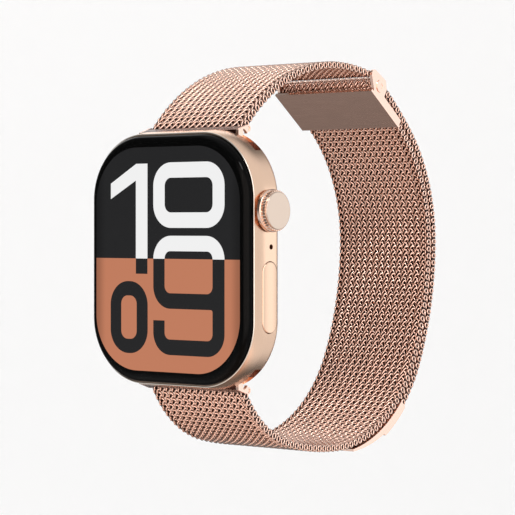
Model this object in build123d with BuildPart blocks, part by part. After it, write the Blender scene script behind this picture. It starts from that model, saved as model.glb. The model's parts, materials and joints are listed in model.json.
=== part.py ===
"""Smartwatch on a closed woven-mesh loop.

Frame: +X is the crown side, +Y points from the display into the wrist opening,
+Z points towards twelve o'clock.  The origin is the centre of the wrist opening.
"""
import os
from math import atan2, cos, degrees, hypot, radians, sin

from build123d import *

os.makedirs("parts", exist_ok=True)

# ---------------------------------------------------------------- driving dimensions
face_reach = 36.5          # wrist centre to the flat front of the crystal

case_width = 39.0
case_height = 46.0
case_corner = 12.3
case_front = 1.7           # depths below are measured from the crystal's flat front
case_belly = 4.7           # depth at which the flank is widest
case_back = 8.3
case_back_round = 1.4
flank_radius = 7.66        # curve of the flank ahead of the belly

crystal_width = 37.4
crystal_height = 44.3
crystal_thick = 1.85
crystal_edge = 1.7
display_width = 34.6
display_height = 40.6

cavity_width = 35.4
cavity_height_front = 42.3
cavity_height_deep = 36.4
cavity_floor = 4.4         # depth where the band grooves begin to narrow the cavity
cavity_back = 6.9

crown_depth = 5.1
crown_height = 8.6
crown_radius = 3.55
crown_foot = 3.75          # radius of the smooth ring at the crown's base
crown_base = 19.8
crown_end = 21.6
crown_teeth = 40

button_depth = 5.3
button_height = -6.5
button_length = 12.5
button_width = 3.8
button_face = 19.65
button_bow = 12.0          # radius of its bowed face

mic_depth = 5.6
mic_height = 2.3

lug_width = 23.8
tongue_width = 27.8        # the tongue inside the groove reaches further than the bar outside
lug_pin = (8.6, 23.25)     # depth and height of the pin that holds the mesh
groove_mid = 6.5
groove_floor = 19.2
mouth_floor = 20.7
groove_chamber = 2.2
groove_mouth = 1.4
groove_play = 0.06         # clearance of the lug on each side
release_height = 19.95

mesh_width = 22.0
mesh_thick = 1.45
layer_gap = 0.35

loop_top = (36.5, 36.1)    # middle of the mesh thickness, as depth and height
loop_back = (66.0, 2.98)
buckle_top = (45.45, 31.7)  # upper edge of the buckle plate, on its wrist side
buckle_slope = -37.2
buckle_length = 11.0
buckle_pin = (-1.0, 3.25)  # along the plate from its top edge, and out from its inner face
buckle_bar = (1.75, 2.59)
plate_thick = 0.5
wall_depth = 1.65
wall_thick = 0.6
wall_gap = 0.2             # between the mesh and a side wall
boss_rise = 0.15
boss_radius = 1.25
bar_radius = 0.35
bar_head = 0.52
fold_radius = 1.25         # bar centre to the middle of the folded mesh


# ---------------------------------------------------------------- helpers
def layer(depth):
    """Plane parallel to the display, at a depth below the crystal's front."""
    return Plane.XZ.offset(face_reach - depth)


def side(x):
    """Plane across the X axis, seen from the crown side: x is Y, y is Z."""
    return Plane.YZ.offset(x)


def at(depth, height):
    """Place in a side plane from a depth below the crystal and a height."""
    return (depth - face_reach, height)


def save(builder, name):
    builder.part.label = name
    export_step(builder.part, f"parts/{name}.step")


def on_plate(along, out):
    """Place in a side plane from the buckle plate's own two directions."""
    a = radians(buckle_slope)
    depth = buckle_top[0] + along * cos(a) - out * sin(a)
    height = buckle_top[1] + along * sin(a) + out * cos(a)
    return at(depth, height)


def turn_to(start, heading, end):
    """Radius and turn of the arc that leaves start at a heading and meets end."""
    chord = degrees(atan2(end[1] - start[1], end[0] - start[0]))
    half = (chord - heading + 180) % 360 - 180
    length = hypot(end[0] - start[0], end[1] - start[1])
    return abs(length / 2 / sin(radians(half))), 2 * half


def walk(start, heading, steps):
    """Arcs of a path made of (radius, turn) steps, where a turn of 0 is a straight run.

    Returns the arcs as (centre, radius, first angle, turn), the end and its heading.
    """
    arcs = []
    y, z = start
    for radius, turn in steps:
        if turn == 0:
            y += radius * cos(radians(heading))
            z += radius * sin(radians(heading))
            continue
        side_angle = 90 if turn > 0 else -90
        centre = (
            y + radius * cos(radians(heading + side_angle)),
            z + radius * sin(radians(heading + side_angle)),
        )
        arcs.append((centre, radius, heading - side_angle, turn))
        heading += turn
        y = centre[0] + radius * cos(radians(heading - side_angle))
        z = centre[1] + radius * sin(radians(heading - side_angle))
    return arcs, (y, z), heading


def ribbon_edge(arcs, shift, start, end):
    """One long edge of a strap of even thickness, shift to the left of its middle line."""
    last = start
    for centre, radius, angle, turn in arcs:
        bend = CenterArc(centre, radius - shift if turn > 0 else radius + shift, angle, turn)
        if (bend @ 0 - Vector(*last)).length > 0.001:
            Line(last, bend @ 0)
        last = bend @ 1
    if (Vector(*end) - Vector(*last)).length > 0.001:
        Line(last, end)


def beside(point, heading, shift):
    """The point a distance to the left of a path."""
    return (point[0] - shift * sin(radians(heading)), point[1] + shift * cos(radians(heading)))


def ribbon(start, heading, steps, thick):
    """Outline of a strap seen from the side, to be filled inside a sketch."""
    arcs, end, end_heading = walk(start, heading, steps)
    corners = {}
    for shift in (thick / 2, -thick / 2):
        first = beside(start, heading, shift)
        last = beside(end, end_heading, shift)
        ribbon_edge(arcs, shift, first, last)
        corners[shift] = (first, last)
    Line(corners[thick / 2][0], corners[-thick / 2][0])
    Line(corners[thick / 2][1], corners[-thick / 2][1])


# ---------------------------------------------------------------- case
def flank_inset(depth):
    """How far the case outline stands inside its widest outline, ahead of the belly."""
    return (case_belly - depth) ** 2 / 2 / flank_radius


def outline(inset):
    RectangleRounded(case_width - 2 * inset, case_height - 2 * inset, case_corner - inset)


front_mid = (case_front + case_belly) / 2
crystal_corner = case_corner - (case_width - crystal_width) / 2
with BuildPart() as case_shell:
    for depth in (case_front, front_mid, case_belly):
        with BuildSketch(layer(depth)):
            outline(flank_inset(depth))
    loft()
    with BuildSketch(layer(case_belly)):
        outline(0)
    extrude(amount=-(case_back - case_belly))
    back_edges = case_shell.edges().filter_by_position(
        Axis.Y, case_back - face_reach - 0.001, case_back - face_reach + 0.001
    )
    fillet(back_edges, case_back_round)
    # seat of the crystal and its seal
    with BuildSketch(layer(0)):
        RectangleRounded(crystal_width + 0.04, crystal_height + 0.04, crystal_corner)
    extrude(amount=-(crystal_thick + 0.2), mode=Mode.SUBTRACT)
    with BuildSketch(layer(0)):
        RectangleRounded(cavity_width, cavity_height_front, crystal_corner - 0.8)
    extrude(amount=-cavity_floor, mode=Mode.SUBTRACT)
    with BuildSketch(layer(0)):
        RectangleRounded(cavity_width, cavity_height_deep, 6)
    extrude(amount=-cavity_back, mode=Mode.SUBTRACT)
    # opening and ledge for the back cover
    with BuildSketch(layer(case_back)):
        RectangleRounded(30, 34, 8)
    extrude(amount=case_back - cavity_back + 1, mode=Mode.SUBTRACT)
    with BuildSketch(layer(case_back)):
        RectangleRounded(32.04, 36.04, 9)
    extrude(amount=case_back - 7.3, mode=Mode.SUBTRACT)
    # band grooves: a wide chamber behind a narrower mouth, open at both flanks
    for way in (1, -1):
        with BuildSketch(side(-case_width / 2 - 1)):
            with Locations(at(groove_mid, way * (groove_floor + mouth_floor) / 2)):
                Rectangle(groove_chamber, mouth_floor - groove_floor)
            with Locations(at(groove_mid, way * (mouth_floor + 24) / 2)):
                Rectangle(groove_mouth, 24 - mouth_floor)
        extrude(amount=case_width + 2, mode=Mode.SUBTRACT)
        # window over the chamber for the release button
        with BuildSketch(layer(case_back + 1)):
            with Locations((0, way * release_height)):
                SlotOverall(5.1, 1.3)
        extrude(amount=1.9, mode=Mode.SUBTRACT)
    # crown bore, side button pocket with its two post holes, microphone hole
    with BuildSketch(side(case_width / 2 + 1)):
        with Locations(at(crown_depth, crown_height)):
            Circle(1.8)
    extrude(amount=-4, mode=Mode.SUBTRACT)
    with BuildSketch(side(case_width / 2 + 1)):
        with Locations(at(button_depth, button_height)):
            SlotOverall(button_length + 0.16, button_width + 0.16, rotation=90)
    extrude(amount=-2.1, mode=Mode.SUBTRACT)
    with BuildSketch(side(case_width / 2 + 1)):
        for step in (-3.5, 3.5):
            with Locations(at(button_depth, button_height + step)):
                Circle(0.56)
        with Locations(at(mic_depth, mic_height)):
            Circle(0.47)
    extrude(amount=-4, mode=Mode.SUBTRACT)
    # two speaker slots on the other flank
    with BuildSketch(side(-case_width / 2 - 1)):
        for step in (-5, 5):
            with Locations(at(mic_depth, step - 4)):
                SlotOverall(6.5, 0.9, rotation=90)
    extrude(amount=4, mode=Mode.SUBTRACT)
save(case_shell, "case_shell")

with BuildPart() as front_crystal:
    with BuildSketch(layer(crystal_thick)):
        RectangleRounded(crystal_width, crystal_height, crystal_corner)
    extrude(amount=crystal_thick)
    fillet(front_crystal.faces().sort_by(Axis.Y)[0].edges(), crystal_edge)
save(front_crystal, "front_crystal")

with BuildPart() as crystal_seal:
    with BuildSketch(layer(crystal_thick)):
        RectangleRounded(crystal_width - 0.2, crystal_height - 0.2, crystal_corner - 0.1)
        RectangleRounded(cavity_width + 0.1, cavity_height_front + 0.1, 10.7, mode=Mode.SUBTRACT)
    extrude(amount=-0.2)
save(crystal_seal, "crystal_seal")


def plate(builder_name, width, height, corner, top, thick, place=(0, 0)):
    """A flat rounded piece lying parallel to the display."""
    with BuildPart() as piece:
        with BuildSketch(layer(top)):
            with Locations(place):
                RectangleRounded(width, height, corner)
        extrude(amount=-thick)
    save(piece, builder_name)


plate("display_panel", display_width, display_height, 9.9, crystal_thick, 0.85)
plate("display_shield", 34.2, 40.2, 9.7, 2.8, 0.2)
plate("display_flex", 4.0, 9.0, 0.3, 3.35, 0.1, place=(-14.9, 1.0))
plate("logic_board", 26.0, 18.2, 2.0, 3.7, 0.7, place=(-0.5, 9.0))
plate("chip_package", 12.0, 11.0, 0.6, 4.4, 0.8, place=(-5.5, 10.5))
plate("battery", 25.5, 17.0, 2.2, 3.7, 2.5, place=(1.6, -9.4))
plate("haptic_motor", 8.0, 6.5, 0.8, 4.5, 1.7, place=(5.6, 13.0))
plate("crown_encoder", 3.0, 4.0, 0.3, 4.45, 1.7, place=(9.7, 5.0))
plate("sensor_board", 23.0, 23.0, 11.4, 7.0, 0.4)

with BuildPart() as mid_frame:
    with BuildSketch(layer(3.05)):
        RectangleRounded(34.8, 41.8, 10.3)
        with Locations((0, -9.4)):
            RectangleRounded(28, 17.5, 2, mode=Mode.SUBTRACT)
        with Locations((0, 9.4)):
            RectangleRounded(26, 15, 2, mode=Mode.SUBTRACT)
    extrude(amount=-0.25)
save(mid_frame, "mid_frame")

with BuildPart() as speaker_module:
    with BuildSketch(layer(4.5)):
        with Locations((-14.6, -4)):
            RectangleRounded(5.0, 17.5, 0.8)
    extrude(amount=-2.2)
save(speaker_module, "speaker_module")

with BuildPart() as speaker_mesh:
    with BuildSketch(side(-17.66)):
        with Locations(at(mic_depth, -4)):
            RectangleRounded(2.0, 17.0, 0.5)
    extrude(amount=0.4)
save(speaker_mesh, "speaker_mesh")

with BuildPart() as microphone:
    with BuildSketch(layer(4.6)):
        with Locations((16.2, mic_height)):
            RectangleRounded(2.4, 2.8, 0.3)
    extrude(amount=-2.0)
save(microphone, "microphone")

with BuildPart() as mic_mesh:
    with BuildSketch(side(18.2)):
        with Locations(at(mic_depth, mic_height)):
            Circle(0.46)
    extrude(amount=0.25)
save(mic_mesh, "mic_mesh")

with BuildPart() as charging_coil:
    with BuildSketch(layer(6.3)):
        Circle(12.0)
        Circle(8.6, mode=Mode.SUBTRACT)
    extrude(amount=-0.55)
save(charging_coil, "charging_coil")

with BuildPart() as sensor_lamps:
    with BuildSketch(layer(7.4)):
        Circle(1.3)
        with PolarLocations(5.6, 4, 45):
            Circle(1.1)
        with PolarLocations(5.6, 4):
            RectangleRounded(2.4, 2.0, 0.3)
    extrude(amount=-0.35)
save(sensor_lamps, "sensor_lamps")

screw_grid = (24.8, 28.4)
with BuildPart() as back_cover:
    with BuildSketch(layer(7.45)):
        RectangleRounded(32.0, 36.0, 8.98)
        Circle(13.4, mode=Mode.SUBTRACT)
    extrude(amount=-(case_back - 7.45))
    with BuildSketch(layer(case_back)):
        Circle(14.7)
    extrude(amount=0.42, mode=Mode.SUBTRACT)
    with BuildSketch(layer(case_back)):
        with GridLocations(*screw_grid, 2, 2):
            Circle(0.9)
    extrude(amount=0.3, mode=Mode.SUBTRACT)
save(back_cover, "back_cover")

dome_rise = 1.4
dome_radius = 14.6
dome_curve = (dome_radius**2 + dome_rise**2) / 2 / dome_rise
with BuildPart() as back_crystal:
    with BuildSketch(layer(case_back - 0.42)):
        Circle(dome_radius)
    extrude(amount=-(dome_rise + 0.42))
    with Locations((0, case_back + dome_rise - dome_curve - face_reach, 0)):
        Sphere(dome_curve, mode=Mode.INTERSECT)
save(back_crystal, "back_crystal")

with BuildPart() as back_seal:
    with BuildSketch(layer(7.3)):
        RectangleRounded(31.8, 35.8, 8.9)
        RectangleRounded(30.2, 34.2, 8.1, mode=Mode.SUBTRACT)
    extrude(amount=-0.15)
save(back_seal, "back_seal")

with BuildPart() as chassis_screws:
    with BuildSketch(layer(8.25)):
        with GridLocations(*screw_grid, 2, 2):
            Circle(0.85)
    extrude(amount=0.25)
    with BuildSketch(layer(8.25)):
        with GridLocations(*screw_grid, 2, 2):
            RegularPolygon(0.4, 6)
    extrude(amount=0.15, mode=Mode.SUBTRACT)
save(chassis_screws, "chassis_screws")

# ---------------------------------------------------------------- crown
def crown_circle(radius, bore=0.0):
    """A disc or ring on the crown's axis, drawn in a side plane."""
    with Locations(at(crown_depth, crown_height)):
        Circle(radius)
        if bore:
            Circle(bore, mode=Mode.SUBTRACT)


with BuildPart() as crown_tube:
    with BuildSketch(side(16.4)):
        crown_circle(1.79, bore=1.16)
    extrude(amount=3.0)
save(crown_tube, "crown_tube")

with BuildPart() as crown_wheel:
    with BuildSketch(side(crown_base)):
        crown_circle(crown_foot)
    extrude(amount=0.7)
    fillet(crown_wheel.faces().sort_by(Axis.X)[-1].edges(), 0.3)
    with BuildSketch(side(crown_base + 0.6)):
        with Locations(at(crown_depth, crown_height)):
            Circle(crown_radius)
            with PolarLocations(crown_radius, crown_teeth):
                Rectangle(0.3, 0.3, rotation=45, mode=Mode.SUBTRACT)
    extrude(amount=crown_end - crown_base - 0.9)
save(crown_wheel, "crown_wheel")

with BuildPart() as crown_cap:
    with BuildSketch(side(crown_end - 0.3)):
        crown_circle(3.3)
    extrude(amount=0.3)
    fillet(crown_cap.faces().sort_by(Axis.X)[-1].edges(), 0.16)
save(crown_cap, "crown_cap")

with BuildPart() as crown_shaft:
    with BuildSketch(side(15.3)):
        crown_circle(1.1)
    extrude(amount=crown_base - 15.3)
    with BuildSketch(side(17.7)):
        crown_circle(1.1, bore=0.62)
    extrude(amount=0.5, mode=Mode.SUBTRACT)
save(crown_shaft, "crown_shaft")

with BuildPart() as crown_seal_ring:
    with BuildSketch(side(17.72)):
        crown_circle(1.08, bore=0.62)
    extrude(amount=0.46)
save(crown_seal_ring, "crown_seal_ring")

with BuildPart() as crown_plunger:
    with BuildSketch(side(14.4)):
        crown_circle(1.5)
    extrude(amount=0.85)
save(crown_plunger, "crown_plunger")

with BuildPart() as crown_switch:
    with BuildSketch(side(12.9)):
        with Locations(at(crown_depth + 0.2, crown_height)):
            RectangleRounded(2.8, 3.4, 0.3)
    extrude(amount=1.0)
save(crown_switch, "crown_switch")

# ---------------------------------------------------------------- side button
with BuildPart() as side_button:
    with BuildSketch(side(18.75)):
        with Locations(at(button_depth, button_height)):
            SlotOverall(button_length, button_width, rotation=90)
    extrude(amount=button_face - 18.75)
    # its face is bowed like the flank around it
    with Locations((button_face - button_bow, at(button_depth + 0.3, 0)[0], button_height)):
        Cylinder(button_bow, button_length + 1, mode=Mode.INTERSECT)
    fillet(side_button.faces().sort_by(Axis.X)[-1].edges(), 0.2)
    with BuildSketch(side(18.8)):
        for step in (-3.5, 3.5):
            with Locations(at(button_depth, button_height + step)):
                Circle(0.5)
    extrude(amount=-1.6)
save(side_button, "side_button")

with BuildPart() as button_switch:
    with BuildSketch(side(15.4)):
        with Locations(at(button_depth, button_height)):
            RectangleRounded(2.4, 10.0, 0.3)
    extrude(amount=1.4)
save(button_switch, "button_switch")

with BuildPart() as button_bracket:
    with BuildSketch(side(14.95)):
        with Locations(at(button_depth + 0.1, button_height)):
            RectangleRounded(2.8, 11.2, 0.4)
    extrude(amount=0.45)
save(button_bracket, "button_bracket")


# ---------------------------------------------------------------- band lugs
knuckle_inner = mesh_width / 2 + 0.3
knuckle_radius = 0.66
neck_half = groove_mouth / 2 - groove_play


def release_button(way, name):
    with BuildPart() as piece:
        with BuildSketch(layer(case_back + 0.05)):
            with Locations((0, way * release_height)):
                SlotOverall(5.0, 1.2)
        extrude(amount=0.75)
    save(piece, name)


def lug(way, name):
    """The sliding lug: tongue and neck in the groove, a bar outside the case, two knuckles."""
    pin = at(lug_pin[0], way * lug_pin[1])
    with BuildPart() as piece:
        # bar hugging the rounded back edge of the case
        with BuildSketch(side(-lug_width / 2)):
            with BuildLine():
                Polyline(
                    at(6.6, way * 22.4),
                    at(6.6, way * 23.25),
                    at(8.0, way * 23.75),
                    at(8.9, way * 23.2),
                    at(8.0, way * 21.9),
                    close=True,
                )
            make_face()
            with Locations(at(case_back - case_back_round, way * (23 - case_back_round))):
                Circle(case_back_round + 0.15, mode=Mode.SUBTRACT)
        extrude(amount=lug_width)
        # room for the end of the mesh
        with BuildSketch(side(-knuckle_inner)):
            with Locations(pin):
                Circle(mesh_thick / 2 + 0.25)
        extrude(amount=2 * knuckle_inner, mode=Mode.SUBTRACT)
        # knuckles around the pin
        for x in (knuckle_inner, -lug_width / 2):
            with BuildSketch(side(x)):
                with Locations(pin):
                    Circle(knuckle_radius)
            extrude(amount=lug_width / 2 - knuckle_inner)
        # neck through the mouth of the groove and tongue in its chamber
        with BuildSketch(side(-lug_width / 2)):
            with BuildLine():
                Polyline(
                    at(groove_mid - neck_half, way * 20.5),
                    at(groove_mid - neck_half, way * 23.0),
                    at(groove_mid + neck_half, way * 23.4),
                    at(groove_mid + neck_half, way * 20.5),
                    close=True,
                )
            make_face()
        extrude(amount=lug_width)
        with BuildSketch(side(-tongue_width / 2)):
            with Locations(at(groove_mid, way * (groove_floor + mouth_floor) / 2)):
                Rectangle(
                    groove_chamber - 2 * groove_play, mouth_floor - groove_floor - 2 * groove_play
                )
        extrude(amount=tongue_width)
        with BuildSketch(side(-lug_width / 2)):
            with Locations(pin):
                Circle(0.36)
        extrude(amount=lug_width, mode=Mode.SUBTRACT)
        # pocket behind the release button and hole for the detent
        with BuildSketch(layer(8.0)):
            with Locations((0, way * release_height)):
                SlotOverall(5.6, 1.5)
        extrude(amount=1.0, mode=Mode.SUBTRACT)
        with BuildSketch(layer(5.3)):
            with Locations((0, way * release_height)):
                Circle(0.45)
        extrude(amount=-0.9, mode=Mode.SUBTRACT)
    save(piece, name)


def lug_pin_rod(way, name):
    with BuildPart() as piece:
        with BuildSketch(side(-lug_width / 2 + 0.1)):
            with Locations(at(lug_pin[0], way * lug_pin[1])):
                Circle(0.35)
        extrude(amount=lug_width - 0.2)
    save(piece, name)


def lug_detent(way, name):
    with BuildPart() as piece:
        with BuildSketch(layer(5.5)):
            with Locations((0, way * release_height)):
                Circle(0.44)
        extrude(amount=-0.7)
    save(piece, name)


for way, end in ((1, "upper"), (-1, "lower")):
    release_button(way, f"release_button_{end}")
    lug(way, f"{end}_lug")
    lug_pin_rod(way, f"{end}_lug_pin")
    lug_detent(way, f"{end}_lug_detent")


# ---------------------------------------------------------------- mesh straps
top = at(*loop_top)
upper_pin = at(*lug_pin)
lower_pin = at(lug_pin[0], -lug_pin[1])
swivel = on_plate(*buckle_pin)
bar = on_plate(*buckle_bar)

rise_radius, rise_turn = turn_to(top, 180, upper_pin)
fall_radius, fall_turn = turn_to(top, 0, swivel)
with BuildPart() as upper_mesh:
    with BuildSketch(side(-mesh_width / 2)):
        with BuildLine():
            ribbon(upper_pin, rise_turn, [(rise_radius, -rise_turn), (fall_radius, fall_turn)], mesh_thick)
        make_face()
        with Locations(upper_pin, swivel):
            Circle(mesh_thick / 2)
    extrude(amount=mesh_width)
    with BuildSketch(side(-mesh_width / 2)):
        with Locations(upper_pin):
            Circle(0.36)
        with Locations(swivel):
            Circle(0.41)
    extrude(amount=mesh_width, mode=Mode.SUBTRACT)
save(upper_mesh, "upper_mesh")

# the lower strap lies on the buckle plate, runs down the back and round to the lower lug
shoulder = 30.0
back_radius, back_turn = 54.5, -25.0
heel_radius, heel_turn = 26.9, -65.0
sole_radius, sole_turn = 60.0, -14.0
strap_start = on_plate(buckle_bar[0], buckle_bar[1] - fold_radius)
plate_run = at(loop_back[0], 0)[0] - strap_start[0] - shoulder * (1 + sin(radians(buckle_slope)))
plate_run /= cos(radians(buckle_slope))
lower_steps = [
    (plate_run, 0),
    (shoulder, -90 - buckle_slope),
    (back_radius, back_turn),
    (heel_radius, heel_turn),
    (sole_radius, sole_turn),
]
arcs, sole_end, sole_heading = walk(strap_start, buckle_slope, lower_steps)
shoulder_centre = arcs[0][0]
heel_centre = arcs[2][0]
lower_steps.append(turn_to(sole_end, sole_heading, lower_pin))
with BuildPart() as lower_mesh:
    with BuildSketch(side(-mesh_width / 2)):
        with BuildLine():
            ribbon(strap_start, buckle_slope, lower_steps, mesh_thick)
        make_face()
        with Locations(lower_pin):
            Circle(mesh_thick / 2)
            Circle(0.36, mode=Mode.SUBTRACT)
    extrude(amount=mesh_width)
save(lower_mesh, "lower_mesh")

# the tail: from the fold around the bar, over the lower strap, down to the end tab
fold_start = 62.0          # part of the fold left open, so that the tail can swing
fold_turn = 180 - fold_start
layer_step = mesh_thick + layer_gap
tail_start_angle = buckle_slope + 90 + fold_turn
tail_start = (
    bar[0] + fold_radius * cos(radians(tail_start_angle)),
    bar[1] + fold_radius * sin(radians(tail_start_angle)),
)
fold_end = on_plate(buckle_bar[0], buckle_bar[1] + fold_radius)
over_radius = shoulder + layer_step
reach = (fold_end[0] - shoulder_centre[0], fold_end[1] - shoulder_centre[1])
out_angle = radians(buckle_slope + 90)
out_reach = reach[0] * cos(out_angle) + reach[1] * sin(out_angle)
crest_radius = (hypot(*reach) ** 2 - over_radius**2) / 2 / (out_reach - over_radius)
crest_centre = (
    fold_end[0] - crest_radius * cos(out_angle),
    fold_end[1] - crest_radius * sin(out_angle),
)
join_angle = degrees(atan2(shoulder_centre[1] - crest_centre[1], shoulder_centre[0] - crest_centre[0]))
crest_turn = join_angle - (buckle_slope + 90)
tab_angle = -44.2          # where the end tab begins, around the heel's centre
tail_steps = [
    (fold_radius, -fold_turn),
    (crest_radius, crest_turn),
    (over_radius, -join_angle),
    (back_radius + layer_step, back_turn),
    (heel_radius + layer_step, tab_angle - back_turn),
]
with BuildPart() as tail_mesh:
    with BuildSketch(side(-mesh_width / 2)):
        with BuildLine():
            ribbon(tail_start, tail_start_angle - 90, tail_steps, mesh_thick)
        make_face()
    extrude(amount=mesh_width)
save(tail_mesh, "tail_mesh")

# ---------------------------------------------------------------- end tab
tab_width = 22.0
tab_inner = heel_radius + mesh_thick / 2 + 0.3
tab_outer = tab_inner + 1.8
tab_block = -16.4
lip_sweep = -20.5
lip_thick = 0.45


def around_heel(radius, angle):
    return (
        heel_centre[0] + radius * cos(radians(angle)),
        heel_centre[1] + radius * sin(radians(angle)),
    )


def magnet_places():
    """Sketch planes of the magnets' inner faces, tangent to the tab's curve."""
    angle = tab_angle + tab_block / 2
    y, z = around_heel(tab_inner + 0.45, angle)
    normal = (0, cos(radians(angle)), sin(radians(angle)))
    return Plane(origin=(0, y, z), x_dir=(1, 0, 0), z_dir=normal)


magnet_grid = (6.4, 5.0, 0.9)
with BuildPart() as clasp_tab:
    with BuildSketch(side(-tab_width / 2)):
        with BuildLine():
            block_end = tab_angle + tab_block
            lip_end = block_end + lip_sweep
            CenterArc(heel_centre, tab_inner, tab_angle, tab_block + lip_sweep)
            Line(around_heel(tab_inner, lip_end), around_heel(tab_inner + lip_thick, lip_end))
            ThreePointArc(
                around_heel(tab_inner + lip_thick, lip_end),
                around_heel(tab_inner + 0.85, block_end + lip_sweep / 2),
                around_heel(tab_inner + 1.25, block_end),
            )
            Line(around_heel(tab_inner + 1.25, block_end), around_heel(tab_outer, block_end))
            CenterArc(heel_centre, tab_outer, block_end, -tab_block)
            Line(around_heel(tab_outer, tab_angle), around_heel(tab_inner, tab_angle))
        make_face()
    extrude(amount=tab_width)
    tab_edges = clasp_tab.edges().filter_by(Axis.X).filter_by(
        lambda edge: (edge.center().Y - heel_centre[0]) ** 2 + (edge.center().Z - heel_centre[1]) ** 2
        > (tab_outer - 0.05) ** 2
    )
    fillet(tab_edges, 0.35)
    with BuildSketch(magnet_places()):
        with GridLocations(magnet_grid[0] + 0.4, 1, 3, 1):
            Rectangle(magnet_grid[0], magnet_grid[1])
    extrude(amount=magnet_grid[2], mode=Mode.SUBTRACT)
save(clasp_tab, "clasp_tab")

with BuildPart() as clasp_magnets:
    with BuildSketch(magnet_places()):
        with GridLocations(magnet_grid[0] + 0.4, 1, 3, 1):
            Rectangle(magnet_grid[0], magnet_grid[1])
    extrude(amount=magnet_grid[2])
save(clasp_magnets, "clasp_magnets")

# ---------------------------------------------------------------- buckle
wall_inner = mesh_width / 2 + wall_gap
buckle_half = wall_inner + wall_thick
pin_half = buckle_half - 0.25      # the swivel pin ends inside the walls


def buckle_plane(x):
    """Side plane with x along the buckle plate and y out from its inner face."""
    a = radians(buckle_slope)
    return Plane(origin=(x, *at(*buckle_top)), x_dir=(0, cos(a), sin(a)), z_dir=(1, 0, 0))


with BuildPart() as buckle_frame:
    with BuildSketch(buckle_plane(-buckle_half)):
        with Locations((buckle_length / 2, plate_thick / 2)):
            Rectangle(buckle_length, plate_thick)
    extrude(amount=2 * buckle_half)
    for x in (-buckle_half, wall_inner):
        with BuildSketch(buckle_plane(x)) as wall:
            with BuildLine():
                Polyline(
                    (1.0, 0),
                    (buckle_length, 0),
                    (buckle_length, wall_depth),
                    (3.9, wall_depth + 0.1),
                    (3.8, 3.2),
                    (2.5, 4.6),
                    (-1.0, 4.2),
                    (-1.7, 2.6),
                    (0.3, 1.0),
                    close=True,
                )
            make_face()
            fillet(wall.vertices().group_by(Axis.Z)[-1], 0.3)
            with Locations(buckle_pin):
                Circle(0.95)
        extrude(amount=wall_thick)
    # raised bosses where the ends of the cross bar show
    for x in (-buckle_half - boss_rise, buckle_half):
        with BuildSketch(buckle_plane(x)):
            with Locations(buckle_bar):
                Circle(boss_radius)
        extrude(amount=boss_rise)
    with BuildSketch(buckle_plane(-pin_half - 0.05)):
        with Locations(buckle_pin):
            Circle(0.44)
    extrude(amount=2 * pin_half + 0.1, mode=Mode.SUBTRACT)
    with BuildSketch(buckle_plane(-buckle_half - boss_rise)):
        with Locations(buckle_bar):
            Circle(bar_radius)
    extrude(amount=2 * (buckle_half + boss_rise), mode=Mode.SUBTRACT)
    for x in (-buckle_half - boss_rise, buckle_half - 0.2):
        with BuildSketch(buckle_plane(x)):
            with Locations(buckle_bar):
                Circle(bar_head)
        extrude(amount=boss_rise + 0.2, mode=Mode.SUBTRACT)
save(buckle_frame, "buckle_frame")

with BuildPart() as cross_bar:
    with BuildSketch(buckle_plane(-buckle_half)):
        with Locations(buckle_bar):
            Circle(bar_radius)
    extrude(amount=2 * buckle_half)
    for x in (-buckle_half - boss_rise + 0.05, buckle_half - 0.2):
        with BuildSketch(buckle_plane(x)):
            with Locations(buckle_bar):
                Circle(bar_head)
        extrude(amount=boss_rise + 0.15)
save(cross_bar, "cross_bar")

with BuildPart() as swivel_pin:
    with BuildSketch(buckle_plane(-pin_half)):
        with Locations(buckle_pin):
            Circle(0.4)
    extrude(amount=2 * pin_half)
save(swivel_pin, "swivel_pin")
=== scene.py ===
"""Smartwatch on a woven steel loop: materials, woven wire, display picture and studio.

Every length is in millimetres in the model's own frame until it reaches Blender, where
MM turns it into metres.
"""
import json
import math

import bmesh
import bpy
import numpy as np
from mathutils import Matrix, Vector


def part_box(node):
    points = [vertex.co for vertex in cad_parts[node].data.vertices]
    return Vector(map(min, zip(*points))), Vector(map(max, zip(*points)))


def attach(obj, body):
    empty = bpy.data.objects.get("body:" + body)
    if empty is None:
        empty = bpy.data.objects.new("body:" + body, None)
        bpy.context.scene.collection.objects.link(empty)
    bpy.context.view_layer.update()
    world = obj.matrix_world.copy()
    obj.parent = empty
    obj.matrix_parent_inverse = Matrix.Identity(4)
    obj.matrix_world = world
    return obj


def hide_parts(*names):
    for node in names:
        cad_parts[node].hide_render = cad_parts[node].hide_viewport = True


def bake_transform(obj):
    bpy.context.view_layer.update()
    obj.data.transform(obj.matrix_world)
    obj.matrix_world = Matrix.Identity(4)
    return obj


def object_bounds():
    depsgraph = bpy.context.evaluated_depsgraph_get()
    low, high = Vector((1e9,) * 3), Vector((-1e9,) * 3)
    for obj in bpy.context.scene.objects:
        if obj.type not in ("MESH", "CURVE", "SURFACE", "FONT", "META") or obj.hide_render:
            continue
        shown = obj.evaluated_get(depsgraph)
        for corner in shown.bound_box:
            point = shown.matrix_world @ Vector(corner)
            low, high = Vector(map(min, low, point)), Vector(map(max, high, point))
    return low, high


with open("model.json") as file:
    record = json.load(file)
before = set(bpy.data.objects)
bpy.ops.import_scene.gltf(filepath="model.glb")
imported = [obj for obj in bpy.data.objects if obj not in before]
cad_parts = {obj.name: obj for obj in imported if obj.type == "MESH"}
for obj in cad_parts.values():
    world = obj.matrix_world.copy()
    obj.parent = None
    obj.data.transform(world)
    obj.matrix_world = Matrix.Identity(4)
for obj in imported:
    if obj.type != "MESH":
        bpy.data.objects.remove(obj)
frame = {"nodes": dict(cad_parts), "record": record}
cad_low, cad_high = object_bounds()
MM = 0.001

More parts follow.
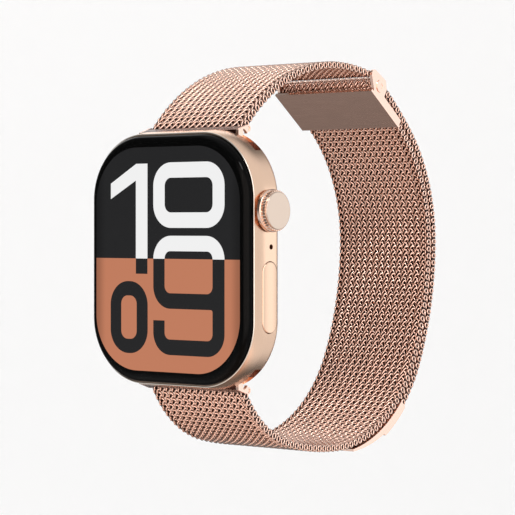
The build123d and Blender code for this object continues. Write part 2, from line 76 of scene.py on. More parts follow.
# ---------------------------------------------------------------- places in the frame
crystal_low, crystal_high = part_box("front_crystal")
FRONT = crystal_low.y / MM             # the crystal's flat front
MESH_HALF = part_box("upper_mesh")[1].x / MM
MESH_THICK = 1.45
LUG_HALF = 11.9            # half the length of a lug's bar outside the case
CASE_WIDTH, CASE_HEIGHT, CASE_CORNER = 39.0, 46.0, 12.3


# ---------------------------------------------------------------- materials
def srgb(red, green, blue):
    """Linear colour of three 0-255 display values."""
    linear = []
    for value in (red, green, blue):
        value /= 255
        linear.append(value / 12.92 if value <= 0.04045 else ((value + 0.055) / 1.055) ** 2.4)
    return (*linear, 1)


def material(name, colour, metallic=0.0, roughness=0.4, **sockets):
    """A principled material; other sockets go by name, with _ for each space."""
    made = bpy.data.materials.new(name)
    made.use_nodes = True
    shader = made.node_tree.nodes["Principled BSDF"]
    shader.inputs["Base Color"].default_value = colour
    shader.inputs["Metallic"].default_value = metallic
    shader.inputs["Roughness"].default_value = roughness
    for socket, value in sockets.items():
        shader.inputs[socket.replace("_", " ")].default_value = value
    return made


def add_grain(made, scale, rough_low, rough_high, bump=0.0, tint=0.0, stretch=(1, 1, 1)):
    """Fine procedural variation: roughness, a little bump and a little colour."""
    tree = made.node_tree
    shader = tree.nodes["Principled BSDF"]
    place = tree.nodes.new("ShaderNodeTexCoord")
    mapping = tree.nodes.new("ShaderNodeMapping")
    mapping.inputs["Scale"].default_value = stretch
    noise = tree.nodes.new("ShaderNodeTexNoise")
    noise.inputs["Scale"].default_value = scale
    noise.inputs["Detail"].default_value = 3
    tree.links.new(place.outputs["Object"], mapping.inputs["Vector"])
    tree.links.new(mapping.outputs["Vector"], noise.inputs["Vector"])
    spread = tree.nodes.new("ShaderNodeMapRange")
    spread.inputs["To Min"].default_value = rough_low
    spread.inputs["To Max"].default_value = rough_high
    tree.links.new(noise.outputs["Fac"], spread.inputs["Value"])
    tree.links.new(spread.outputs["Result"], shader.inputs["Roughness"])
    if bump:
        lift = tree.nodes.new("ShaderNodeBump")
        lift.inputs["Strength"].default_value = 0.3
        lift.inputs["Distance"].default_value = bump * MM
        tree.links.new(noise.outputs["Fac"], lift.inputs["Height"])
        tree.links.new(lift.outputs["Normal"], shader.inputs["Normal"])
    if tint:
        base = tuple(shader.inputs["Base Color"].default_value)
        mix = tree.nodes.new("ShaderNodeMix")
        mix.data_type = "RGBA"
        mix.inputs["A"].default_value = tuple(c * (1 - tint) for c in base[:3]) + (1,)
        mix.inputs["B"].default_value = tuple(min(1, c * (1 + tint)) for c in base[:3]) + (1,)
        tree.links.new(noise.outputs["Fac"], mix.inputs["Factor"])
        tree.links.new(mix.outputs["Result"], shader.inputs["Base Color"])
    return made


def distance_from_middle(tree):
    """How far a point lies from the watch's middle plane, left or right, in metres."""
    place = tree.nodes.new("ShaderNodeTexCoord")
    split = tree.nodes.new("ShaderNodeSeparateXYZ")
    tree.links.new(place.outputs["Object"], split.inputs["Vector"])
    size = tree.nodes.new("ShaderNodeMath")
    size.operation = "ABSOLUTE"
    tree.links.new(split.outputs["X"], size.inputs[0])
    return size.outputs["Value"]


def paint_shade_outside(made, low, high, colour):
    """Painted shade: a darker colour in place of shadow and dark reflection, except between two
    distances from the middle in millimetres.
    """
    tree = made.node_tree
    shader = tree.nodes["Principled BSDF"]
    # 1 on the bright stretch, 0 elsewhere
    bright = tree.nodes.new("ShaderNodeMath")
    bright.operation = "COMPARE"
    bright.inputs[1].default_value = (low + high) / 2 * MM
    bright.inputs[2].default_value = (high - low) / 2 * MM
    tree.links.new(distance_from_middle(tree), bright.inputs[0])
    mix = tree.nodes.new("ShaderNodeMix")
    mix.data_type = "RGBA"
    mix.inputs["A"].default_value = colour
    mix.inputs["B"].default_value = tuple(shader.inputs["Base Color"].default_value)
    tree.links.new(bright.outputs["Value"], mix.inputs["Factor"])
    tree.links.new(mix.outputs["Result"], shader.inputs["Base Color"])


ROSE_CASE = srgb(236, 202, 177)
ROSE_CROWN = srgb(226, 200, 184)
ROSE_CAP = srgb(206, 188, 174)
# near-white, paler than the case: a painted highlight on the polished rim
RIM_PAINTED_HIGHLIGHT = srgb(250, 240, 228)
ROSE_STEEL = srgb(240, 206, 190)
# painted shade of the lug's bar, standing in for its shadow and dark reflection
LUG_PAINTED_SHADE = srgb(84, 52, 43)
FINE, BRUSHED = 9000, 2500     # grains per metre of a blasted and of a brushed finish
ALONG_X = (0.1, 1, 1)          # stretch of a brushed grain, which runs along the X axis


def metal(name, colour, grain, rough_low, rough_high, **more):
    """A metal whose roughness varies with its grain."""
    return add_grain(material(name, colour, metallic=1), grain, rough_low, rough_high, **more)


case_metal = metal("case_metal", ROSE_CASE, FINE, 0.21, 0.29, bump=0.001, tint=0.02)
crown_metal = metal("crown_metal", ROSE_CROWN, FINE, 0.2, 0.3, tint=0.02)
rim_highlight_metal = metal("rim_highlight_metal", RIM_PAINTED_HIGHLIGHT, FINE, 0.25, 0.35, tint=0.02)
cap_metal = metal("cap_metal", ROSE_CAP, FINE, 0.2, 0.3, tint=0.02)
lug_metal = metal("lug_metal", ROSE_STEEL, BRUSHED, 0.18, 0.3, stretch=ALONG_X)
# painted shade: the lug's bar is darkened between the strap's edges, for the shadowed groove by
# the case; its knuckle ends keep the steel's colour
paint_shade_outside(lug_metal, MESH_HALF + 0.3, LUG_HALF + 0.1, LUG_PAINTED_SHADE)
buckle_metal = metal("buckle_metal", ROSE_STEEL, BRUSHED, 0.16, 0.26, stretch=ALONG_X)
wire_metal = metal("wire_metal", ROSE_STEEL, 3000, 0.15, 0.26)
steel = metal("steel", srgb(176, 176, 178), 3000, 0.22, 0.4)
copper = metal("copper", srgb(214, 138, 88), 4000, 0.25, 0.4)
# painted shade: the core's near-black brown stands in for the shadow in the weave's holes
core_painted_shade = add_grain(material("core_painted_shade", srgb(44, 17, 10), metallic=0.5), 2500, 0.45, 0.7)
bezel_glass = material("bezel_glass", srgb(7, 7, 7), roughness=0.04, Specular_IOR_Level=0.05)
back_glass = material("back_glass", srgb(18, 18, 20), roughness=0.05)
rubber = add_grain(material("rubber", srgb(24, 23, 22), roughness=0.7), 3000, 0.6, 0.8)
dark_mesh = add_grain(material("dark_mesh", srgb(60, 48, 42), metallic=0.8), 6000, 0.3, 0.6)
plastic = add_grain(material("plastic", srgb(28, 30, 30)), 4000, 0.4, 0.6)
lamp_lens = material("lamp_lens", srgb(30, 70, 45), roughness=0.08)

# the finish of each slot in the record, and of single nodes that differ from their slot's
SLOT_LOOKS = {
    "case_metal": case_metal,
    "crown_metal": crown_metal,
    "button_metal": case_metal,
    "back_metal": case_metal,
    "back_glass": back_glass,
    "seal": rubber,
    "steel": steel,
    "board": plastic,
    "chip": plastic,
    "cell": plastic,
    "speaker_plastic": plastic,
    "fine_mesh": dark_mesh,
    "coil": copper,
    "lamps": lamp_lens,
    "lug_metal": lug_metal,
    "pin_steel": lug_metal,
    "buckle": buckle_metal,
    "tab": buckle_metal,
    "magnet": steel,
    "display": bezel_glass,
    "crystal": bezel_glass,
    "mesh": wire_metal,
}
NODE_LOOKS = {"crown_cap": cap_metal}


def paint_frame():
    """Every CAD node takes the material of its record slot, or its own if it has one."""
    for entry in frame["record"]["subparts"]:
        node = frame["nodes"][entry["node"]]
        look = NODE_LOOKS.get(entry["node"], SLOT_LOOKS[entry["material_slot"]])
        node.data.materials.clear()
        node.data.materials.append(look)


# ---------------------------------------------------------------- mesh building
def add_mesh(name, points, faces, look, body, smooth=True):
    """A piece from points in millimetres, riding on a body unless body is None."""
    data = bpy.data.meshes.new(name)
    data.from_pydata((np.asarray(points) * MM).tolist(), [], faces)
    data.polygons.foreach_set("use_smooth", [smooth] * len(data.polygons))
    data.materials.append(look)
    data.update()
    piece = bpy.data.objects.new(name, data)
    bpy.context.scene.collection.objects.link(piece)
    if body:
        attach(piece, body)
    return piece


def ring_faces(rings, size, closed=False):
    """Quads between rings of size points each; closed joins the last ring to the first."""
    faces = []
    for ring in range(rings if closed else rings - 1):
        low, high = ring * size, (ring + 1) % rings * size
        for here in range(size):
            after = (here + 1) % size
            faces.append((low + here, low + after, high + after, high + here))
    return faces


# ---------------------------------------------------------------- strap route
def walk(start, heading, steps):
    """Stretches of a route made of (radius, turn) steps; a turn of 0 is a straight run.

    Each stretch is (first length, length, start point, heading, signed radius or None).
    """
    stretches = []
    y, z = start
    gone = 0.0
    for radius, turn in steps:
        angle = math.radians(heading)
        if turn == 0:
            stretches.append((gone, radius, (y, z), angle, None))
            y += radius * math.cos(angle)
            z += radius * math.sin(angle)
            gone += radius
            continue
        bend = math.copysign(radius, turn)
        length = radius * math.radians(abs(turn))
        stretches.append((gone, length, (y, z), angle, bend))
        after = math.radians(heading + turn)
        y += bend * (math.sin(after) - math.sin(angle))
        z += bend * (math.cos(angle) - math.cos(after))
        heading += turn
        gone += length
    return stretches, gone, (y, z), heading


def along(route, lengths):
    """Points and headings of a route at given lengths, as arrays."""
    y = np.zeros_like(lengths)
    z = np.zeros_like(lengths)
    heading = np.zeros_like(lengths)
    for index, (first, length, start, angle, bend) in enumerate(route):
        here = lengths >= first if index else np.ones_like(lengths, bool)
        run = lengths[here] - first
        if bend is None:
            turned = np.full_like(run, angle)
            y[here] = start[0] + run * math.cos(angle)
            z[here] = start[1] + run * math.sin(angle)
        else:
            turned = angle + run / bend
            y[here] = start[0] + bend * (np.sin(turned) - math.sin(angle))
            z[here] = start[1] + bend * (math.cos(angle) - np.cos(turned))
        heading[here] = turned
    return y, z, heading


def turn_to(start, heading, end):
    """Radius and turn of the arc that leaves start at a heading and meets end."""
    chord = math.degrees(math.atan2(end[1] - start[1], end[0] - start[0]))
    half = (chord - heading + 180) % 360 - 180
    length = math.dist(start, end)
    return abs(length / 2 / math.sin(math.radians(half))), 2 * half


def at(depth, height):
    """Side-view place from a depth behind the crystal's front and a height."""
    return (FRONT + depth, height)


BUCKLE_TOP = at(45.45, 31.7)   # upper end of the buckle plate, from the side
BUCKLE_SLOPE = -37.2           # the plate's fall towards the back, in degrees
BAR_ALONG, BAR_OUT = 1.75, 2.59    # the cross bar, along and out from the plate


def on_plate(out_from, reach):
    """Side-view place from the buckle plate's own two directions."""
    a = math.radians(BUCKLE_SLOPE)
    return (
        BUCKLE_TOP[0] + out_from * math.cos(a) - reach * math.sin(a),
        BUCKLE_TOP[1] + out_from * math.sin(a) + reach * math.cos(a),
    )


LUG_PIN = (8.6, 23.25)         # depth and height of the pin in each lug
LOOP_TOP = at(36.5, 36.1)      # crest of the upper strap's middle
LOOP_BACK = 66.0               # depth of the lower strap's middle at its farthest
SWIVEL = on_plate(-1.0, 3.25)
FOLD_RADIUS = 1.25             # of the strap's middle round the cross bar
LAYER_STEP = MESH_THICK + 0.35     # from the lower strap's middle to the tail's
# radii and turns in degrees of the lower strap's arcs, from the buckle down
SHOULDER, BACK, HEEL, SOLE = 30.0, 54.5, 26.9, 60.0
BACK_TURN, HEEL_TURN, SOLE_TURN = -25.0, -65.0, -14.0
TAB_ANGLE = -44.2              # of the end tab's first edge on the heel's arc


def upper_route():
    """From the upper lug's pin over the top to the swivel pin."""
    pin = at(*LUG_PIN)
    rise, rise_turn = turn_to(LOOP_TOP, 180, pin)
    return walk(pin, rise_turn, [(rise, -rise_turn), turn_to(LOOP_TOP, 0, SWIVEL)])


def lower_route():
    """From under the cross bar round the back to the lower lug's pin."""
    start = on_plate(BAR_ALONG, BAR_OUT - FOLD_RADIUS)
    slope = math.radians(BUCKLE_SLOPE)
    reach = at(LOOP_BACK, 0)[0] - start[0]
    run = (reach - SHOULDER * (1 + math.sin(slope))) / math.cos(slope)
    steps = [
        (run, 0),
        (SHOULDER, -90 - BUCKLE_SLOPE),
        (BACK, BACK_TURN),
        (HEEL, HEEL_TURN),
        (SOLE, SOLE_TURN),
    ]
    end, heading = walk(start, BUCKLE_SLOPE, steps)[2:]
    steps.append(turn_to(end, heading, at(LUG_PIN[0], -LUG_PIN[1])))
    return walk(start, BUCKLE_SLOPE, steps)


def fold_route():
    """Half a turn round the cross bar."""
    start = on_plate(BAR_ALONG, BAR_OUT - FOLD_RADIUS)
    return walk(start, BUCKLE_SLOPE + 180, [(FOLD_RADIUS, -180)])


def tail_route():
    """From over the cross bar to the end tab, one layer out from the lower strap."""
    start = on_plate(BAR_ALONG, BAR_OUT + FOLD_RADIUS)
    back_start = lower_route()[0][2][2]
    centre = (at(LOOP_BACK - SHOULDER, 0)[0], back_start[1])
    over = SHOULDER + LAYER_STEP
    out = math.radians(BUCKLE_SLOPE + 90)
    reach = (start[0] - centre[0], start[1] - centre[1])
    out_reach = reach[0] * math.cos(out) + reach[1] * math.sin(out)
    crest = (math.hypot(*reach) ** 2 - over**2) / 2 / (out_reach - over)
    crest_centre = (start[0] - crest * math.cos(out), start[1] - crest * math.sin(out))
    join = math.degrees(math.atan2(centre[1] - crest_centre[1], centre[0] - crest_centre[0]))
    steps = [
        (crest, join - BUCKLE_SLOPE - 90),
        (over, -join),
        (BACK + LAYER_STEP, BACK_TURN),
        (HEEL + LAYER_STEP, TAB_ANGLE - BACK_TURN),
    ]
    return walk(start, BUCKLE_SLOPE, steps)


# ---------------------------------------------------------------- woven wire
WIRE = 0.195               # wire radius
PITCH = 1.453              # one turn of a coil, across the strap
ROW = 0.70                 # step from one coil to the next, along the strap
COIL_HALF = 0.60           # half a coil's height along the strap
CORE_HALF = 0.06           # half the thickness of the weave's dark core, a sheet of painted shade
FLANGE_HALF = 0.5          # the same inside the coil ends at the edges
EDGE_HALF = 0.44           # the same at the edge, where every other coil lies side by side
LAYER_OUT = 0.31           # from the strap's middle to the middle of a layer
LAYER_HALF = 0.21          # half a layer's height, wire to wire
RING_STEP = 0.42           # from one row of coil ends to the next, across the strap
TURN_STEPS = 8             # wire segments in one turn of a coil
RING_STEPS = 14            # the same round a coil's end at the edge
WIRE_SIDES = 4
CORE_EDGE, CORE_WEB = 0.17, 0.27   # from the strap's edge in to the core's flange and web
CORE_STEP = 0.6            # between two sections of the core
# from each end of a route in to where the weave and its core begin
UPPER_ENDS, UPPER_CORE_ENDS = (0.2, 0.3), (0.3, 0.5)
LOWER_ENDS, LOWER_CORE_ENDS = (0.0, 0.2), (0.0, 0.3)


def strap_points(route, lengths, lift, x):
    """Points in space from lengths along a route, heights off its middle and places across."""
    y, z, heading = along(route, lengths)
    return np.column_stack([x, y - lift * np.sin(heading), z + lift * np.cos(heading)])


def coil_points(route, place, shift, half_width, layer):
    """The wire of one flattened coil that lies across the strap, in its outer or inner layer."""
    turns = 2 * half_width / PITCH
    wound = np.linspace(0, turns, int(turns * TURN_STEPS) + 1)
    angle = shift - wound * 2 * math.pi
    lift = layer * LAYER_OUT + LAYER_HALF * np.sin(angle)
    return strap_points(route, place + COIL_HALF * np.cos(angle), lift, wound * PITCH - half_width)


def ring_points(route, place, x):
    """The round end of a coil at the strap's edge, as thick as the strap."""
    angle = np.linspace(0, 2 * math.pi, RING_STEPS + 1)
    lift = (MESH_THICK / 2 - WIRE) * np.sin(angle)
    return strap_points(route, place + EDGE_HALF * np.cos(angle), lift, np.full_like(angle, x))


def wire_tube(points, radius, sides):
    """Vertices and faces of a wire that follows points and mostly winds round X."""
    ahead = np.gradient(points, axis=0)
    ahead /= np.linalg.norm(ahead, axis=1)[:, None]
    across = np.array([1.0, 0, 0]) - ahead * ahead[:, :1]
    across /= np.linalg.norm(across, axis=1)[:, None]
    third = np.cross(ahead, across)
    ring = np.arange(sides) * 2 * math.pi / sides
    offsets = (
        across[:, None, :] * np.cos(ring)[None, :, None]
        + third[:, None, :] * np.sin(ring)[None, :, None]
    )
    vertices = (points[:, None, :] + offsets * radius).reshape(-1, 3)
    first = (np.arange(len(points) - 1) * sides)[:, None]
    here = np.arange(sides)[None, :]
    after = (here + 1) % sides
    faces = np.stack(
        [first + here, first + after, first + sides + after, first + sides + here], axis=-1
    ).reshape(-1, 4)
    caps = [list(range(sides))[::-1], list(range(len(vertices) - sides, len(vertices)))]
    return vertices, faces, caps


def core(name, route, start, end, body):
    """The weave's middle as a thin dark sheet that closes it to light where the crossing wires
    would; its dark colour is painted shade for the holes between the wires.

    Its section is a thin web with a flange inside each row of coil ends.
    """
    outer, inner = MESH_HALF - CORE_EDGE, MESH_HALF - CORE_WEB
    quarter = ((outer, FLANGE_HALF), (inner, FLANGE_HALF), (inner, CORE_HALF))
    section = [*quarter]
    section += [(-x, lift) for x, lift in reversed(quarter)]
    section += [(-x, -lift) for x, lift in quarter]
    section += [(x, -lift) for x, lift in reversed(quarter)]
    count = max(3, int((end - start) / CORE_STEP))
    lengths = np.linspace(start, end, count + 1)
    rings = [
        strap_points(route, lengths, np.full_like(lengths, lift), np.full_like(lengths, x))
        for x, lift in section
    ]
    vertices = np.stack(rings, axis=1).reshape(-1, 3)
    size = len(section)
    faces = [tuple(range(size)), tuple(size * count + corner for corner in reversed(range(size)))]
    for ring in range(count):
        low, high = size * ring, size * (ring + 1)
        for here in range(size):
            after = (here + 1) % size
            faces.append((low + here, high + here, high + after, low + after))
    return add_mesh(name, vertices, faces, core_painted_shade, body, smooth=False)


def weave(name, route, start, end, body, first_coil=0):
    """A stretch of woven mesh from start to end along a route."""
    vertices, faces, base = [], [], 0
    count = int(round((end - start) / ROW))
    step = (end - start) / count
    wires = []
    for index in range(count):
        coil = first_coil + index
        place = start + (index + 0.5) * step
        half_width = MESH_HALF - WIRE - (0.0 if coil % 2 else RING_STEP)
        shift = math.pi * (coil % 2)
        for layer in (-1, 1):
            wires.append(coil_points(route, place, shift, half_width - RING_STEP, layer))
        for side in (-1, 1):
            wires.append(ring_points(route, place, side * half_width))
    for points in wires:
        tube, quads, caps = wire_tube(points, WIRE, WIRE_SIDES)
        vertices.append(tube)
        faces.extend((quads + base).tolist())
        faces.extend([[corner + base for corner in cap] for cap in caps])
        base += len(tube)
    return add_mesh(name, np.concatenate(vertices), faces, wire_metal, body)


def weave_pieces(name, route, start, end, body, count):
    """A long stretch of woven mesh as several pieces, end to end."""
    coil = 0
    pieces = []
    for index in range(count):
        low = start + (end - start) * index / count
        high = start + (end - start) * (index + 1) / count
        pieces.append(weave(f"{name}_{index + 1}", route, low, high, body, coil))
        coil += int(round((high - low) / ROW))
    return pieces


def make_straps():
    """Each strap as woven wire on its core, and the fold round the cross bar, which rides on no
    body.
    """
    route, length = upper_route()[:2]
    first, last = UPPER_CORE_ENDS
    core("upper_core", route, first, length - last, "band_loop")
    first, last = UPPER_ENDS
    pieces = weave_pieces("upper_weave", route, first, length - last, "band_loop", 2)
    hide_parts("upper_mesh")
    route, length = lower_route()[:2]
    first, last = LOWER_CORE_ENDS
    core("lower_core", route, first, length - last, "band_loop")
    first, last = LOWER_ENDS
    pieces = weave_pieces("lower_weave", route, first, length - last, "band_loop", 5)
    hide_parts("lower_mesh")
    route, length = fold_route()[:2]
    fold = weave("fold_weave", route, 0.0, length, None)
    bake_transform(fold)
    route, length = tail_route()[:2]
    core("tail_core", route, 0.0, length, "tail")
    pieces = weave_pieces("tail_weave", route, 0.0, length, "tail", 3)
    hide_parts("tail_mesh")


# ---------------------------------------------------------------- crystal and display
CRYSTAL_WIDTH = (crystal_high.x - crystal_low.x) / MM
CRYSTAL_HEIGHT = (crystal_high.z - crystal_low.z) / MM
CRYSTAL_CORNER = 11.5
CRYSTAL_EDGE = 1.7
EDGE_STEPS = 12            # facets of the crystal's quarter-round edge
CORNER_STEPS = 24          # facets of each of its corners
GLASS_DEPTH = 0.03         # the dark glass, the picture's two colours and its digits
PICTURE_DEPTH = 0.024
DIGIT_DEPTH = 0.012


def rounded_outline(width, height, corner, steps):
    """Points round a rounded rectangle, anticlockwise from the right."""
    points = []
    for quarter in range(4):
        sign_x = 1 if quarter in (0, 3) else -1
        sign_z = 1 if quarter in (0, 1) else -1
        for step in range(steps + 1):
            angle = math.pi / 2 * (quarter + step / steps)
            points.append(
                (
                    sign_x * (width / 2 - corner) + corner * math.cos(angle),
                    sign_z * (height / 2 - corner) + corner * math.sin(angle),
                )
            )
    return points


def make_crystal():
    """Black-bordered crystal: a flat front, a quarter-round edge and a straight side."""
    rings = [(0.0, (crystal_high.y - crystal_low.y) / MM)]
    for step in range(EDGE_STEPS + 1):
        angle = math.pi / 2 * step / EDGE_STEPS
        inset = CRYSTAL_EDGE * (1 - math.cos(angle))
        rings.append((inset, CRYSTAL_EDGE * (1 - math.sin(angle)) + GLASS_DEPTH))
    points = []
    for inset, depth in rings:
        outline = rounded_outline(
            CRYSTAL_WIDTH - 2 * inset,
            CRYSTAL_HEIGHT - 2 * inset,
            CRYSTAL_CORNER - inset,
            CORNER_STEPS,
        )
        points.extend((x, FRONT + depth, z) for x, z in outline)
    size = len(points) // len(rings)
    faces = ring_faces(len(rings), size)
    faces.append(tuple(range(len(points) - size, len(points))))
    faces.append(tuple(reversed(range(size))))
    crystal = add_mesh("crystal", points, faces, bezel_glass, "case")
    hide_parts("front_crystal")


RIM_DEPTH = 1.66           # depth of the case's polished front edge
RIM_RADIUS = 0.13
RIM_INSET = 0.62           # from the case's widest outline in to the rim
RIM_SIDES = 8
RIM_STEPS = 32             # facets of each of its corners


def make_rim():
    """The thin polished edge of the case round the crystal; its near-white colour, paler than the
    case's, is a painted highlight.
    """
    width, height = CASE_WIDTH - 2 * RIM_INSET, CASE_HEIGHT - 2 * RIM_INSET
    corner = CASE_CORNER - RIM_INSET
    outline = np.array(rounded_outline(width, height, corner, RIM_STEPS))
    ahead = np.roll(outline, -1, axis=0) - np.roll(outline, 1, axis=0)
    out = np.column_stack([ahead[:, 1], -ahead[:, 0]]) / np.linalg.norm(ahead, axis=1)[:, None]
    rings = []
    for side in range(RIM_SIDES):
        angle = 2 * math.pi * side / RIM_SIDES
        place = outline + out * RIM_RADIUS * math.cos(angle)
        depth = np.full(len(outline), FRONT + RIM_DEPTH + RIM_RADIUS * math.sin(angle))
        rings.append(np.column_stack([place[:, 0], depth, place[:, 1]]))
    faces = ring_faces(RIM_SIDES, len(outline), closed=True)
    add_mesh("case_rim", np.concatenate(rings), faces, rim_highlight_metal, "case")


DISPLAY_HALF_X, DISPLAY_HALF_Z, DISPLAY_CORNER = 17.07, 20.03, 9.9
COLOUR_LINE = 0.1          # height where the picture changes colour
STROKE = 2.73              # width of a digit's line
DIM_WIDTH = 2.6            # how far in from the picture's long sides it dims, as painted shade
DIM_LEVEL = 0.62           # its brightness there at the very side


def light_colour(name, colour):
    """A glowing part of the display, under the same gloss as the crystal; the dark ground's dim
    glow is a painted reflection.
    """
    made = material(name, srgb(4, 4, 4), roughness=0.04, Specular_IOR_Level=0.12)
    tree = made.node_tree
    shader = tree.nodes["Principled BSDF"]
    shader.inputs["Emission Color"].default_value = colour
    # painted shade: the picture's glow is dimmed a little where the glass begins to curve away at
    # its long sides
    fade = tree.nodes.new("ShaderNodeMapRange")
    fade.interpolation_type = "SMOOTHSTEP"
    fade.inputs["From Min"].default_value = (DISPLAY_HALF_X - DIM_WIDTH) * MM
    fade.inputs["From Max"].default_value = DISPLAY_HALF_X * MM
    fade.inputs["To Min"].default_value = 1
    fade.inputs["To Max"].default_value = DIM_LEVEL
    tree.links.new(distance_from_middle(tree), fade.inputs["Value"])
    tree.links.new(fade.outputs["Result"], shader.inputs["Emission Strength"])
    return made


def rounded_path(corners):
    """A closed outline from (x, z, radius) corners, each rounded by an arc."""
    points = []
    count = len(corners)
    for index, (x, z, radius) in enumerate(corners):
        before = corners[index - 1]
        after = corners[(index + 1) % count]
        if radius == 0:
            points.append((x, z))
            continue
        a1 = math.atan2(before[1] - z, before[0] - x)
        a2 = math.atan2(after[1] - z, after[0] - x)
        inside = (a2 - a1 + math.pi) % (2 * math.pi) - math.pi
        cut = radius / math.tan(abs(inside) / 2)
        middle = a1 + inside / 2
        reach = radius / math.sin(abs(inside) / 2)
        centre = (x + reach * math.cos(middle), z + reach * math.sin(middle))
        first = (x + cut * math.cos(a1), z + cut * math.sin(a1))
        start = math.atan2(first[1] - centre[1], first[0] - centre[0])
        sweep = -math.copysign(math.pi - abs(inside), inside)
        steps = max(3, int(abs(sweep) * radius * 2.5) + 3)
        for step in range(steps + 1):
            angle = start + sweep * step / steps
            points.append(
                (centre[0] + radius * math.cos(angle), centre[1] + radius * math.sin(angle))
            )
    return points


def flat_shape(name, outlines, depth, look):
    """A thin filled shape parallel to the display; inner outlines are holes."""
    curve = bpy.data.curves.new(name, "CURVE")
    curve.dimensions = "2D"
    curve.fill_mode = "BOTH"
    for outline in outlines:
        spline = curve.splines.new("POLY")
        spline.points.add(len(outline) - 1)
        for point, (x, z) in zip(spline.points, outline):
            point.co = (x, z, 0, 1)
        spline.use_cyclic_u = True
    holder = bpy.data.objects.new(name, curve)
    bpy.context.scene.collection.objects.link(holder)
    bpy.context.view_layer.update()
    flat = bpy.data.meshes.new_from_object(holder)
    corners = [(v.co.x, FRONT + depth, v.co.y) for v in flat.vertices]
    faces = [tuple(face.vertices) for face in flat.polygons]
    bpy.data.objects.remove(holder)
    bpy.data.meshes.remove(flat)
    return add_mesh(name, corners, faces, look, "case", smooth=False)


def rounded_box(left, right, low, high, corner):
    """Outline of a rectangle with round corners."""
    return rounded_path(
        [(left, low, corner), (right, low, corner), (right, high, corner), (left, high, corner)]
    )


def ring_box(left, right, low, high, stroke, corner):
    """Outer and inner outlines of a digit bowl."""
    return [
        rounded_box(left, right, low, high, corner),
        rounded_box(
            left + stroke, right - stroke, low + stroke, high - stroke, max(corner - stroke, 1.0)
        ),
    ]


def cut_at(piece, height, keep_above):
    """Trims a flat shape at a height, keeping the part above or below."""
    work = bmesh.new()
    work.from_mesh(piece.data)
    bmesh.ops.bisect_plane(
        work,
        geom=work.verts[:] + work.edges[:] + work.faces[:],
        plane_co=(0, 0, height * MM),
        plane_no=(0, 0, 1),
        clear_inner=keep_above,
        clear_outer=not keep_above,
    )
    work.to_mesh(piece.data)
    work.free()


def make_display():
    """The dial: dark above the colour line, orange below, with digits that swap colour on it."""
    # painted reflection: the dark ground glows dim grey in place of the crystal's soft sheen
    ground = light_colour("screen_dark_painted_sheen", srgb(36, 36, 37))
    orange = light_colour("screen_orange", srgb(192, 124, 94))
    white = light_colour("screen_white", srgb(240, 240, 240))
    outline = rounded_box(
        -DISPLAY_HALF_X, DISPLAY_HALF_X, -DISPLAY_HALF_Z, DISPLAY_HALF_Z, DISPLAY_CORNER
    )
    upper = flat_shape("screen_upper", [outline], PICTURE_DEPTH, ground)
    cut_at(upper, COLOUR_LINE, True)
    lower = flat_shape("screen_lower", [outline], PICTURE_DEPTH, orange)
    cut_at(lower, COLOUR_LINE, False)

    nine_outer = rounded_path(
        [
            (-3.06, -10.87, 0),
            (-3.06, -16.96, 4),
            (13.62, -16.96, 4),
            (13.62, 4.20, 4.2),
            (-3.06, 4.20, 4.2),
            (-3.06, -8.75, 4),
            (10.87, -8.75, 0.4),
            (10.87, -14.20, 1.2),
            (-0.35, -14.20, 1.2),
            (-0.35, -10.87, 0),
        ]
    )
    nine_hole = rounded_box(-0.35, 10.87, -5.99, 1.47, 1.3)
    one = rounded_path(
        [
            (-7.29, -2.65, 0),
            (-4.47, -2.65, 0),
            (-4.47, 17.1, 0),
            (-7.2, 17.1, 0),
            (-13.45, 13.6, 0),
            (-13.45, 10.8, 0),
            (-7.29, 14.1, 0),
        ]
    )
    digits = {
        "one": [one],
        "zero": ring_box(-3.06, 13.62, 5.60, 17.22, STROKE, 4.2),
        "nine": [nine_outer, nine_hole],
        "small_zero": [
            rounded_box(-13.5, -4.41, -16.98, -4.0, 4.3),
            rounded_box(-10.87, -7.09, -14.4, -6.6, 1.5),
        ],
    }
    for name, outlines in digits.items():
        low = min(z for x, z in outlines[0])
        high = max(z for x, z in outlines[0])
        if high > COLOUR_LINE:
            piece = flat_shape(f"digit_{name}_upper", outlines, DIGIT_DEPTH, white)
            cut_at(piece, COLOUR_LINE, True)
        if low < COLOUR_LINE:
            piece = flat_shape(f"digit_{name}_lower", outlines, DIGIT_DEPTH, ground)
            cut_at(piece, COLOUR_LINE, False)


# ---------------------------------------------------------------- studio
KEY_PLACE, KEY_SIZE, KEY_POWER = (0.7, -0.4, 0.9), 0.25, 3


def make_key():
    """A square soft box above and to the right, aimed at the watch."""
    data = bpy.data.lights.new("key", "AREA")
    data.shape = "RECTANGLE"
    data.size = data.size_y = KEY_SIZE
    data.energy = KEY_POWER
    lamp = bpy.data.objects.new("key", data)
    lamp.location = KEY_PLACE
    lamp.rotation_euler = (-Vector(KEY_PLACE)).to_track_quat("-Z", "Y").to_euler()
    bpy.context.scene.collection.objects.link(lamp)


CAMERA_PLACE = (0.2493, -0.3144, 0.00628)
CAMERA_TURN = 39.4         # degrees round to the crown side
CAMERA_LENS, CAMERA_SHIFT = 146.8, -0.065


def make_camera():
    """A long level lens, a little above the case's middle and round to its crown side."""
    data = bpy.data.cameras.new("camera")
    data.lens = CAMERA_LENS
    data.sensor_width = 36
    data.shift_y = CAMERA_SHIFT
    data.clip_start, data.clip_end = 0.01, 20
    camera = bpy.data.objects.new("camera", data)
    camera.location = CAMERA_PLACE
    camera.rotation_euler = (math.pi / 2, 0, math.radians(CAMERA_TURN))
    bpy.context.scene.collection.objects.link(camera)
    bpy.context.scene.camera = camera


FLOOR_GLOW = 0.273         # of its own, so that it is evenly pale
FLOOR_DROP = 0.15          # the floor lies so far below that no shadow shows on it
FLOOR_FLAT, FLOOR_BEND, FLOOR_RISE = 0.7, 0.5, 1.8     # radii and height of its profile
BEND_STEPS = 24
FLOOR_SIDES = 96


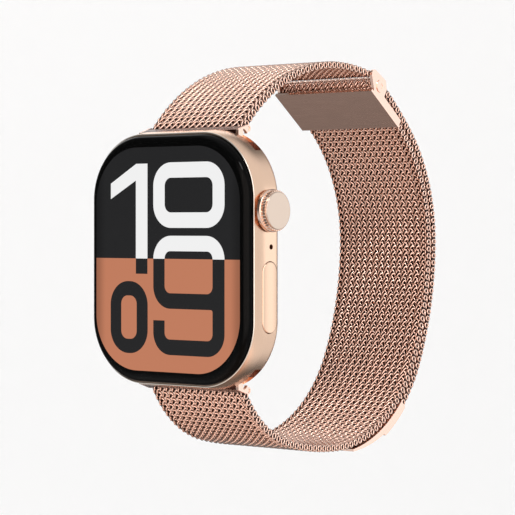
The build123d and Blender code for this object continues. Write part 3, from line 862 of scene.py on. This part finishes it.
def make_floor():
    """A pale round floor that rises in one smooth sweep on every side."""
    floor_z = cad_low.z - FLOOR_DROP
    profile = [(0.0, 0.0), (0.3, 0.0), (FLOOR_FLAT, 0.0)]
    for step in range(1, BEND_STEPS + 1):
        angle = math.pi / 2 * step / BEND_STEPS
        out = FLOOR_FLAT + FLOOR_BEND * math.sin(angle)
        profile.append((out, FLOOR_BEND - FLOOR_BEND * math.cos(angle)))
    profile.append((FLOOR_FLAT + FLOOR_BEND, FLOOR_RISE))
    points = []
    for out, up in profile:
        for side in range(FLOOR_SIDES):
            turn = 2 * math.pi * side / FLOOR_SIDES
            points.append((out * math.cos(turn), out * math.sin(turn), floor_z + up))
    faces = ring_faces(len(profile), FLOOR_SIDES)
    data = bpy.data.meshes.new("floor")
    data.from_pydata(points, [], faces)
    data.polygons.foreach_set("use_smooth", [True] * len(faces))
    look = material("floor", srgb(222, 222, 222), roughness=1)
    shader = look.node_tree.nodes["Principled BSDF"]
    shader.inputs["Specular IOR Level"].default_value = 0
    shader.inputs["Emission Color"].default_value = (1, 1, 1, 1)
    shader.inputs["Emission Strength"].default_value = FLOOR_GLOW
    data.materials.append(look)
    floor = bpy.data.objects.new("floor", data)
    bpy.context.scene.collection.objects.link(floor)
    floor.visible_glossy = False


def world_patch(tree, towards, width, softness, strength):
    """A soft round patch of the surroundings in one direction, as a value."""
    place = tree.nodes.new("ShaderNodeTexCoord")
    dot = tree.nodes.new("ShaderNodeVectorMath")
    dot.operation = "DOT_PRODUCT"
    dot.inputs[1].default_value = Vector(towards).normalized()
    tree.links.new(place.outputs["Generated"], dot.inputs[0])
    spread = tree.nodes.new("ShaderNodeMapRange")
    spread.interpolation_type = "SMOOTHSTEP"
    spread.inputs["From Min"].default_value = math.cos(math.radians(width + softness))
    spread.inputs["From Max"].default_value = math.cos(math.radians(width))
    spread.inputs["To Max"].default_value = strength
    tree.links.new(dot.outputs["Value"], spread.inputs["Value"])
    return spread.outputs["Result"]


WHITE = (1, 1, 1)
BLUSH = (1, 0.88, 0.82)
WARM = (1, 0.6, 0.42)
# direction, half width and soft edge in degrees, strength and colour
WORLD_PATCHES = (
    ((0, 0, 1), 20, 26, 0.7, WHITE),
    ((-0.635, 0.526, 0.556), 10, 16, 0.8, WHITE),
    ((0.85, 0.5, 0), 42, 28, 0.8, WHITE),
    ((0.675, 0.737, 0), 6, 10, 0.55, WHITE),
    ((-0.635, 0.773, 0.15), 22, 18, 0.5, WHITE),
    ((0.7, -0.7, 0.15), 18, 26, 2.5, BLUSH),
    ((-0.35, -0.6, -0.7), 20, 30, 0.8, WHITE),
    ((0.3, -0.3, -0.9), 22, 30, 0.7, WARM),
    ((-0.635, 0.274, -0.723), 20, 25, 0.05, WARM),
)
WORLD_BASE = 0.12


def make_light():
    """Soft surroundings with a few wide bright patches, and the key light."""
    world = bpy.data.worlds.new("world")
    world.use_nodes = True
    tree = world.node_tree
    base = tree.nodes.new("ShaderNodeCombineXYZ")
    for socket in base.inputs:
        socket.default_value = WORLD_BASE
    total = base.outputs["Vector"]
    for towards, width, softness, strength, colour in WORLD_PATCHES:
        patch = world_patch(tree, towards, width, softness, strength)
        tinted = tree.nodes.new("ShaderNodeVectorMath")
        tinted.operation = "SCALE"
        tinted.inputs[0].default_value = colour
        tree.links.new(patch, tinted.inputs["Scale"])
        add = tree.nodes.new("ShaderNodeVectorMath")
        tree.links.new(total, add.inputs[0])
        tree.links.new(tinted.outputs["Vector"], add.inputs[1])
        total = add.outputs["Vector"]
    tree.links.new(total, tree.nodes["Background"].inputs["Color"])
    bpy.context.scene.world = world
    make_key()
    bpy.context.scene.view_settings.view_transform = "Standard"


paint_frame()
make_straps()
make_crystal()
make_rim()
make_display()
make_floor()
make_light()
make_camera()
